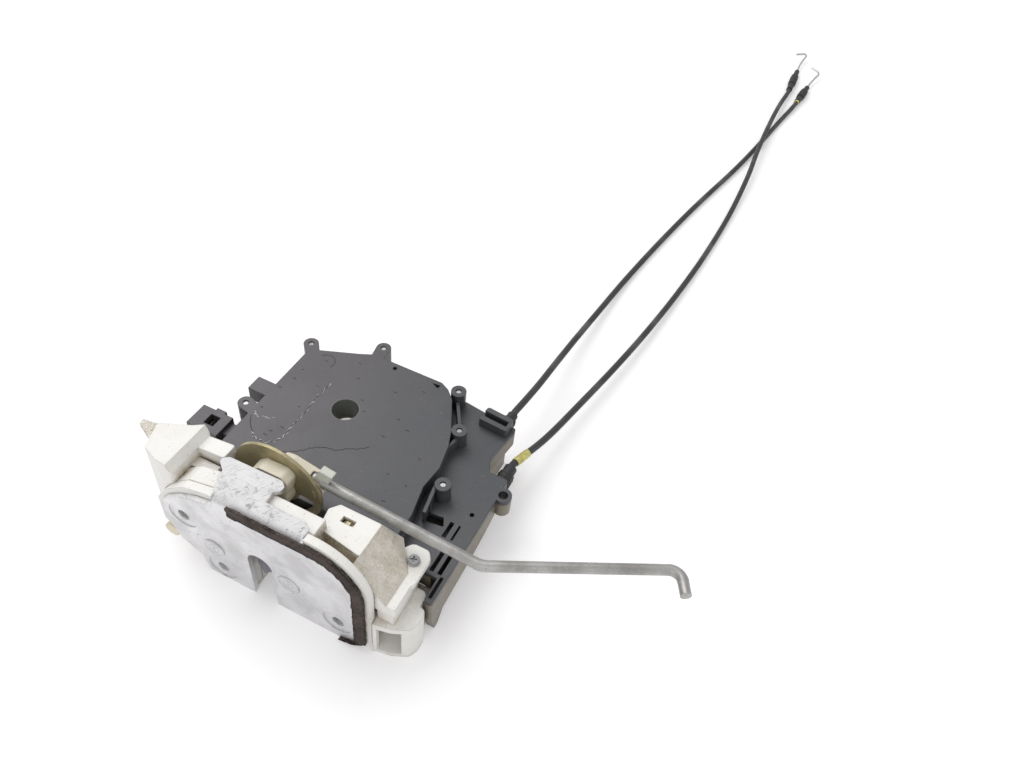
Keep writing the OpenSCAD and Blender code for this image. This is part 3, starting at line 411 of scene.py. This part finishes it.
def moulded_black(name, left, right, film, dusty, wall_shade_and_dust, wall_shade_and_dust_share):
    """Black plastic that turns from one tone on the left to another on the right. film is the dust's tone and
    dusty its share. The upright sides take their own tone at its share: painted shade on the cover, tan dust on
    the base."""
    material, shader, place = start_finish(name)
    haze = grain(place, 38, 6, 0.6).between(0.35, 0.75)
    fine = grain(place, 2600, 3)
    broken = grain(place, 150, 2).between(0.50, 0.62)
    lines = streaks(place, (0, 0, 0.5), 0.006, 0.00022, 0.68, 0.75)
    lines = lines.most(streaks(place, (0, 0, -0.9), 0.009, 0.00024, 0.69, 0.76)) * broken
    scrapes = streaks(place, (0, 0, 1.3), 0.0035, 0.0003, 0.69, 0.74)
    scrapes = scrapes * grain(place, 90, 2).between(0.48, 0.6)
    flecks = grain(place, 1500, 1).between(0.735, 0.78)
    sides = (1 - facing_up(place)) * (0.6 + grain(place, 120, 4).between(0.3, 0.7) * 0.4)
    shade = corners(place, 0.005).between(0.3, 0.9)
    # A lighter green-grey is painted on the bore's wall as a painted sheen.
    bore_sheen = near(place, (0, 0, 0), bore_r, 0.0002, (1, 1, 0))
    colour = place.make("SeparateXYZ", None, {0: place}).between(-0.03, 0.05).blend(left, right)
    colour = (haze * dusty).blend(colour, film)
    colour = (lines * 0.4).blend(colour, (0.30, 0.30, 0.31, 1))
    colour = (scrapes * 0.6).blend(colour, (0.022, 0.021, 0.024, 1))
    colour = (flecks * 0.5).blend(colour, (0.42, 0.40, 0.37, 1))
    # Upright sides take their own tone: painted shade on the cover, tan dust on the base.
    colour = (sides * wall_shade_and_dust_share).blend(colour, wall_shade_and_dust)
    colour = (shade * 0.7).blend(colour, (0.016, 0.016, 0.017, 1))
    colour = (bore_sheen * 0.7).blend(colour, (0.17, 0.185, 0.15, 1))
    fill(shader, {
        "Base Color": colour,
        "Roughness": 0.34 + haze * 0.16 + lines * 0.2,
        "Normal": rough_skin(place, 0.25, 0.0001, fine + haze * 2 - lines, round_edges(place, 0.0004)),
    })
    return material


# The cover's dark tone on its upright walls is painted shade.
cover_finish = moulded_black("housing_black", (0.082, 0.074, 0.084, 1), (0.064, 0.070, 0.077, 1),
                             (0.115, 0.11, 0.112, 1), 0.4, (0.045, 0.046, 0.048, 1), 0.7)
dress(cover_finish, "actuator_cover", "cable_clip", "connector_shell", "microswitch")
base_finish = moulded_black("housing_dusty", (0.075, 0.070, 0.066, 1), (0.105, 0.100, 0.088, 1),
                            (0.17, 0.155, 0.13, 1), 0.7, (0.25, 0.215, 0.155, 1), 0.85)
dress(base_finish, "actuator_base")

# The mould's pins left small raised dashes on the cover's top, and an arc near its rear left corner. They are
# one with the cover's black plastic.
cover_top = 31
dash_height = cover_top + 0.02
dash_r = 0.00018
dash_places = (
    (-26.8, 9.6), (-26.8, 3.7), (-29.0, -3.0), (-16.6, 4.9), (-16.3, -7.9), (-28.7, -15.3), (-15.7, -19.8),
    (-19.2, -25.8), (-4.9, 16.9), (2.9, 7.6), (20.0, -4.1), (20.5, 6.2), (6.8, 2.9), (31.0, -18.7),
    (37.7, -6.7), (26.5, 3.0), (-18.4, -23.3), (-21.5, 18.6), (39.5, -20.0), (36.0, -30.0), (12.0, 18.0),
    (-9.0, 24.5), (22.0, 24.0))
dashes = []
for i, (x, y) in enumerate(dash_places):
    half = 0.45 + 0.3 * math.sin(i * 2.4) ** 2
    lean = 0.25 * math.sin(i * 1.7)
    rise = half * lean
    dashes.append(millimetres((x - half, y - rise, dash_height), (x + half, y + rise, dash_height)))
dashes.append(ring((-0.0214, 0.0184, 0), (0, 0, 1), 0.0037, 150, 330))
line_piece("mould_marks", dashes, dash_r, cover_finish, "lock", 2)


# Two hairline cracks run through the cover's top. The strained plastic has turned white in short marks along
# the longer one and along a branch of it.
def on_cover(points, count):
    """Points along a smooth path on the cover's top."""
    return smooth(millimetres(*[(x, y, cover_top) for x, y in points]), count)


def wandering(points, count, sway, seed):
    """Points along the same path, straying a little to both sides."""
    return [at + Vector((math.sin(i * 1.9 + seed), math.sin(i * 1.3 + 2 * seed), 0)) * sway
            for i, at in enumerate(on_cover(points, count))]


crack_finish, shader, place = start_finish("crack_shadow")
fill(shader, {"Base Color": (0.012, 0.011, 0.013, 1), "Roughness": 0.6 + 0.2 * grain(place, 900)})
stress_finish, shader, place = start_finish("stress_white")
stress_tone = grain(place, 900, 2).between(0.3, 0.7)
fill(shader, {
    "Base Color": stress_tone.blend((0.42, 0.41, 0.42, 1), (0.80, 0.79, 0.78, 1)), "Roughness": 0.7,
})
long_crack = (
    (-12.8, 8.7), (-13.2, 0.2), (-12.7, -9.2), (-12.8, -18.1), (-12.7, -23.9), (-15.8, -28.3), (-21.5, -29.0),
    (-24.3, -26.8), (-27.4, -24.0), (-29.6, -20.5))
short_crack = (
    (-11.3, -30.8), (-6.8, -28.5), (-2.8, -25.5), (0.1, -22.2), (4.5, -19.7), (8.1, -19.1), (11.4, -16.3),
    (15.1, -14.2), (18.4, -11.3))
branch = ((-29.5, -18.5), (-27.0, -19.7), (-21.4, -17.8))
crack_r = 0.00011
cracks = [wandering(long_crack, 90, 0.00012, 1), wandering(short_crack, 60, 0.00022, 4)]
line_piece("cracks", cracks, crack_r, crack_finish, "lock", 1)
mark_r = 0.00013
mark_stray = 0.00035
mark_steps = 400
marks = []
for path, share_to, count in ((long_crack, 0.76, 95), (branch, 1, 26)):
    run = on_cover(path, mark_steps)
    for i in range(count):
        if math.sin(i * 5.3) * math.sin(i * 0.37) > 0.42:
            continue
        step = int(share_to * i / (count - 1) * (mark_steps - 1))
        at = run[min(mark_steps - 2, step)]
        way = (run[min(mark_steps - 1, step + 1)] - at).normalized()
        stray = Vector((-way.y, way.x, 0)) * mark_stray * math.sin(i * 7.1)
        half = way * (0.00012 + 0.00035 * math.sin(i * 3.7) ** 2)
        marks.append([at + stray - half, at + stray + half])
line_piece("stress_marks", marks, mark_r, stress_finish, "lock", 1)

# A cord of black rubber lies in the joint between the two shells and seals it. The striker stops against a
# block of the same rubber at the slot's end.
seal_finish, shader, place = start_finish("seal_cord")
fill(shader, {"Base Color": (0.02, 0.02, 0.02, 1), "Roughness": 0.6 + 0.2 * grain(place, 900)})
dress(seal_finish, "housing_seal", "striker_bumper")


# The latch body and the cover over the levers are white plastic, now stained cream where hands and grease
# reached it, with brown dust caked in the corners, darkened there with painted shade, and specks of grit all
# over.
# The cover's slope is grey with dust.
def white_plastic(name, clean, stain, dirt, amount, spots=(), slope=0.0):
    """Pale plastic, with dust and painted shade in its corners in the dirt's tone. spots are patches of dust: a
    point, the patch's reach, its soft edge, its share, and whether it lies on walls alone. slope is the share
    of dust on faces that slope down to the right."""
    material, shader, place = start_finish(name)
    tone = grain(place, 70, 5, 0.6).between(0.4, 0.75)
    grit = grain(place, 1100, 2).between(0.68, 0.74)
    fine_grit = grain(place, 2600, 1).between(0.70, 0.76)
    scuff = streaks(place, (0.3, 0.2, 0.7), 0.004, 0.0002, 0.67, 0.75)
    sand = grain(place, 1300, 6, 0.8).between(0.30, 0.66) + grain(place, 420, 2).between(0.62, 0.7) * 0.4
    walls = 1 - facing_up(place)
    # Dust caked in the corners, with painted shade darkening the same corners.
    dust_and_corner_shade = corners(place, 0.006).between(0.25, 0.85) * grain(place, 260, 5, 0.65).between(0.3, 0.6)
    for at, reach, edge, share, upright in spots:
        patch = near(place, at, reach, edge) * sand * share
        dust_and_corner_shade = dust_and_corner_shade.most(patch * walls if upright else patch)
    if slope:
        fibres = streaks(place, (0.4, 0.9, 0.2), 0.0025, 0.0002, 0.6, 0.68)
        fibres = fibres.most(streaks(place, (0.2, -0.5, 1.2), 0.002, 0.0002, 0.6, 0.68))
        cloud = grain(place, 180, 4, 0.7).between(0.25, 0.75)
        tilted = facing(place, 0).between(0.25, 0.4) * facing(place, 2).between(0.1, 0.25)
        dust_and_corner_shade = dust_and_corner_shade.most(tilted * (0.12 + cloud * 0.35 + sand * 0.25 + fibres * 0.3) * slope)
    colour = (tone * 0.7).blend(clean, stain)
    colour = (dust_and_corner_shade * amount).blend(colour, dirt)
    colour = (grit * 0.55).blend(colour, (0.28, 0.22, 0.15, 1))
    colour = (fine_grit * 0.4 + scuff * 0.2).blend(colour, (0.33, 0.28, 0.20, 1))
    bumps = grain(place, 1500, 3) - dust_and_corner_shade * 0.6
    fill(shader, {
        "Base Color": colour,
        "Roughness": 0.42 + tone * 0.12 + dust_and_corner_shade * 0.3,
        "Normal": rough_skin(place, 0.3, 0.00015, bumps, round_edges(place, 0.0007)),
    })
    return material


latch_spots = (
    ((0.037, -0.0605, 0.010), 0.009, 0.003, 1.2, True),
    ((-0.054, -0.0475, 0.006), 0.004, 0.004, 0.9, False),
    ((0.052, -0.066, -0.008), 0.004, 0.006, 0.35, False))
latch_finish = white_plastic("stained_white", (0.90, 0.89, 0.855, 1), (0.84, 0.81, 0.74, 1),
                             (0.40, 0.33, 0.22, 1), 0.9, latch_spots)
dress(latch_finish, "latch_front", "latch_body", "side_box", "lever_shelf")
lever_cover_spots = (
    ((0.0535, -0.0475, 0.006), 0.0045, 0.003, 0.5, False),
    ((0.036, -0.060, 0.006), 0.010, 0.003, 1.1, True))
lever_cover_finish = white_plastic("dusty_white", (0.905, 0.895, 0.86, 1), (0.86, 0.83, 0.76, 1),
                                   (0.36, 0.28, 0.15, 1), 0.9, lever_cover_spots, slope=1.0)
dress(lever_cover_finish, "lever_cover")

# The rod's clip, the key lever's hub, the worm wheel and the lock lever are cream acetal, and the clip's gate
# is a milky clear plastic. The slam buffer is yellowed rubber. All of them are dirty, with painted shade in
# their corners, as the latch body is.
acetal = white_plastic("cream_acetal", (0.78, 0.73, 0.60, 1), (0.68, 0.62, 0.46, 1),
                       (0.25, 0.20, 0.12, 1), 1.0)
dress(acetal, "rod_clip", "lever_hub", "worm_wheel", "lock_lever")
milky = white_plastic("clear_gate", (0.62, 0.64, 0.56, 1), (0.55, 0.56, 0.47, 1), (0.25, 0.22, 0.15, 1), 0.8)
dress(milky, "clip_gate")
yellowed = white_plastic("buffer_rubber", (0.80, 0.70, 0.52, 1), (0.72, 0.60, 0.42, 1),
                         (0.3, 0.24, 0.16, 1), 0.9)
dress(yellowed, "slam_buffer")


# The face plate and its flange are one steel pressing, bright zinc plated. The plating has clouded, and is
# scratched, pitted and speckled with dirt. The flange's top faces are painted a flat pale grey with lighter and
# darker blotches, a painted reflection of its mottled sheen, and are scored all over.
def plated(name, bright, dull, rough, dirt, metal=0.85, top_painted_reflection=0.0):
    """Plated steel. The last argument is the share in which the faces that look up lose their metal and are
    painted pale grey with lighter and darker blotches, a painted reflection, with score marks over them.
    """
    material, shader, place = start_finish(name)
    cloud = grain(place, 75, 7, 0.62)
    patches = cloud.between(0.36, 0.68)
    lines = streaks(place, (0.0, 0.9, 0.0), 0.012, 0.00018, 0.64, 0.72)
    lines = lines.most(streaks(place, (0.0, -0.5, 0.4), 0.008, 0.00016, 0.66, 0.73))
    lines = lines.most(streaks(place, (0.0, 0.2, 1.1), 0.007, 0.00018, 0.66, 0.73))
    pits = grain(place, 650, 3, 0.7).between(0.66, 0.72) * grain(place, 55, 2).between(0.45, 0.62)
    specks = grain(place, 1700, 1).between(0.73, 0.77)
    colour = patches.blend(bright, dull)
    colour = (lines * 0.3).blend(colour, (0.86, 0.87, 0.88, 1))
    colour = ((pits * 0.8).most(specks * 0.6) * dirt).blend(colour, (0.10, 0.09, 0.08, 1))
    metallic = metal - pits * 0.6
    roughness = rough + patches * 0.14 + pits * 0.3
    # Faces that look up: a painted reflection of mottled metal as flat grey blotches, with real score marks.
    if top_painted_reflection:
        top = facing_up(place) * top_painted_reflection
        reflection_cloud = grain(place, 95, 4, 0.6).between(0.45, 0.7)
        reflection_blotch = grain(place, 330, 6, 0.72).between(0.52, 0.66)
        reflection_blotch = reflection_blotch * (0.35 + grain(place, 60, 2).between(0.4, 0.6) * 0.65)
        scored = streaks(place, (0.0, 0.0, 0.9), 0.003, 0.00022, 0.60, 0.68)
        scored = scored * grain(place, 120, 2).between(0.42, 0.56)
        crossed = streaks(place, (0.0, 0.0, -0.4), 0.004, 0.0002, 0.62, 0.70)
        crossed = crossed * grain(place, 100, 2).between(0.42, 0.56)
        reflection_blotch_and_scores = reflection_blotch.most(scored.most(crossed) * 0.8)
        colour = top.blend(colour, (0.76, 0.755, 0.76, 1))
        colour = (top * reflection_cloud * 0.5).blend(colour, (0.58, 0.575, 0.58, 1))
        colour = (top * reflection_blotch_and_scores * 0.8).blend(colour, (0.22, 0.215, 0.21, 1))
        metallic = metallic - top * 0.75
        roughness = roughness + top * 0.16
    height = cloud - lines * 0.5 - pits * 2
    fill(shader, {
        "Base Color": colour,
        "Metallic": metallic,
        "Roughness": roughness,
        "Normal": rough_skin(place, 0.3, 0.00012, height, round_edges(place, 0.0003)),
    })
    return material


zinc = plated("zinc_plate", (0.75, 0.745, 0.755, 1), (0.60, 0.595, 0.60, 1), 0.38, 1.0, top_painted_reflection=1.0)
dress(zinc, "face_plate", "fork_pivot", "pawl_pivot")

# Three collars are pressed out of the plate and tapped, for the bolts that hold the lock in the door. Each
# thread is one line wound round inside its hole.
collar_y = -69.1
bolt_places = ((-21.3, 30.7), (-8.6, 6.2), (41.2, 10.2))
thread_r = 0.00251
thread_line = 0.00022
thread_depth = 0.005
thread_turn = 0.3
thread_steps = 160
threads = []
for x, z in bolt_places:
    centre = millimetres((x, collar_y, z))[0]
    threads.append([centre + Vector((thread_r * math.cos(i * thread_turn), thread_depth * i / thread_steps,
                                     thread_r * math.sin(i * thread_turn))) for i in range(thread_steps + 1)])
line_piece("screw_threads", threads, thread_line, zinc, "lock", 2)

# The catch and the pawl turn on two like steel rivets. The riveting tool left rings on their heads, and a low
# round step in the plate about the catch's one, which the slot cuts off.
outward = (0, -1, 0)
face_y = -69.5
rivet_y = -69.92
fork_place = (22.1, 20.5)
pawl_place = (-9.9, 18.8)
rivet_line = 0.00014
rivet_rings = []
for x, z in (fork_place, pawl_place):
    centre = millimetres((x, rivet_y, z))[0]
    rivet_rings += [ring(centre, outward, radius) for radius in (0.0037, 0.0021, 0.0005)]
line_piece("rivet_marks", rivet_rings, rivet_line, zinc, "lock", 2)


def turned(centre, section, steps=96):
    """A closed ring about the axis out of the face plate, from its section in millimetres."""
    mesh = bmesh.new()
    turns = [2 * math.pi * i / steps for i in range(steps)]
    rows = []
    for radius, height in section:
        points = [Vector((radius * math.cos(turn), -height, radius * math.sin(turn))) for turn in turns]
        rows.append([mesh.verts.new(centre + point / 1000) for point in points])
    for a, b in zip(rows, rows[1:] + rows[:1]):
        for i in range(steps):
            j = (i + 1) % steps
            mesh.faces.new((a[i], a[j], b[j], b[i]))
    bmesh.ops.recalc_face_normals(mesh, faces=mesh.faces)
    return mesh


slot_edge_x = 0.0158
press_section = ((4.5, -0.2), (4.5, 0.24), (4.8, 0.3), (10.3, 0.3), (10.9, 0.2), (11.4, 0.03), (11.6, -0.2))
press_mark = turned(millimetres((fork_place[0], face_y, fork_place[1]))[0], press_section)
bmesh.ops.bisect_plane(press_mark, geom=press_mark.verts[:] + press_mark.edges[:] + press_mark.faces[:],
                       plane_co=(slot_edge_x, 0, 0), plane_no=(-1, 0, 0), clear_outer=True)
bmesh.ops.holes_fill(press_mark, edges=[edge for edge in press_mark.edges if edge.is_boundary])
add_mesh("press_mark", press_mark, zinc, "lock")

# The pieces that hardly show are plain steel, stamped, turned or wound: the back plate, the pawl and the
# springs, the motor's can, and the release lever with the pins and posts.
inner_steel = plated("inner_steel", (0.60, 0.60, 0.61, 1), (0.46, 0.46, 0.46, 1), 0.35, 0.6)
dress(inner_steel, "back_plate", "pawl", "motor", "wheel_pin", "lock_post", "release_post", "release_lever",
      "lever_pin", "fork_spring", "pawl_spring")

# The handle rod is galvanized steel wire, bent twice and gone grey. The clip on the key lever holds it, so that
# it moves with the lever.
rod_finish = plated("rod_steel", (0.46, 0.455, 0.44, 1), (0.30, 0.29, 0.275, 1), 0.4, 1.0, 0.8)
dress(rod_finish, "handle_rod")

# The screws in the lever cover and the boss are plain steel that has dulled, and so are the six pins in the
# housing cover's bosses. All of them are driven into the plastic.
screw_finish = plated("screw_steel", (0.52, 0.52, 0.52, 1), (0.30, 0.30, 0.30, 1), 0.35, 0.8)
dress(screw_finish, "cover_screw", "boss_screw", "cover_pins")

# The key lever is a stamped steel disc, passivated yellow, with a stiffening bead pressed along its lower
# right edge. The tongue in the roof's window, the worm and the terminals have the same finish.
khaki = plated("yellow_passivate", (0.46, 0.40, 0.24, 1), (0.33, 0.28, 0.15, 1), 0.36, 0.7, 0.7)
dress(khaki, "key_lever", "roof_tongue", "worm", "terminals")
bead_r = 0.0160
bead_line = 0.0005
bead_left = 0.0075
bead_top = 0.0145
bead = ring(millimetres((2.7, -46.2, 39.2))[0], outward, bead_r)
bead = [at for at in bead if at.x > bead_left and at.z < bead_top]
line_piece("lever_bead", [bead], bead_line, khaki, "key_lever", 3)

# The catch closes round the striker and shows in the slot. It is steel with a dark violet coating, and turns
# on the rivet right of the slot's edge.
catch_finish = plated("catch_coating", (0.16, 0.15, 0.19, 1), (0.09, 0.085, 0.11, 1), 0.35, 0.6, 0.5)
dress(catch_finish, "fork_bolt")

# A strip of foam is stuck round the plate's bend and its right corner, to seal it against the door. It is
# soft and dark brown, crushed, and torn along its edges.
foam_finish, shader, place = start_finish("sealing_foam")
cells = grain(place, 1500, 4, 0.7)
crush = grain(place, 160, 4)
foam_tone = (cells * 0.6 + crush * 0.5).between(0.35, 0.8)
fill(shader, {
    "Base Color": foam_tone.blend((0.045, 0.036, 0.032, 1), (0.135, 0.11, 0.10, 1)),
    "Roughness": 0.9, "Specular IOR Level": 0.2,
    "Normal": rough_skin(place, 0.8, 0.0004, cells + crush, round_edges(place, 0.0006)),
})
dress(foam_finish, "foam_seal")
torn = bpy.data.textures.new("torn_foam", "CLOUDS")
torn.noise_scale = 0.0022
torn.noise_depth = 3
fine_mesh = solids["foam_seal"].modifiers.new("fine_mesh", "REMESH")
fine_mesh.mode = "VOXEL"
fine_mesh.voxel_size = 0.0004
fine_mesh.use_smooth_shade = True
crushed = solids["foam_seal"].modifiers.new("crushed", "DISPLACE")
crushed.texture = torn
crushed.texture_coords = "LOCAL"
crushed.strength = 0.0011
crushed.mid_level = 0.95
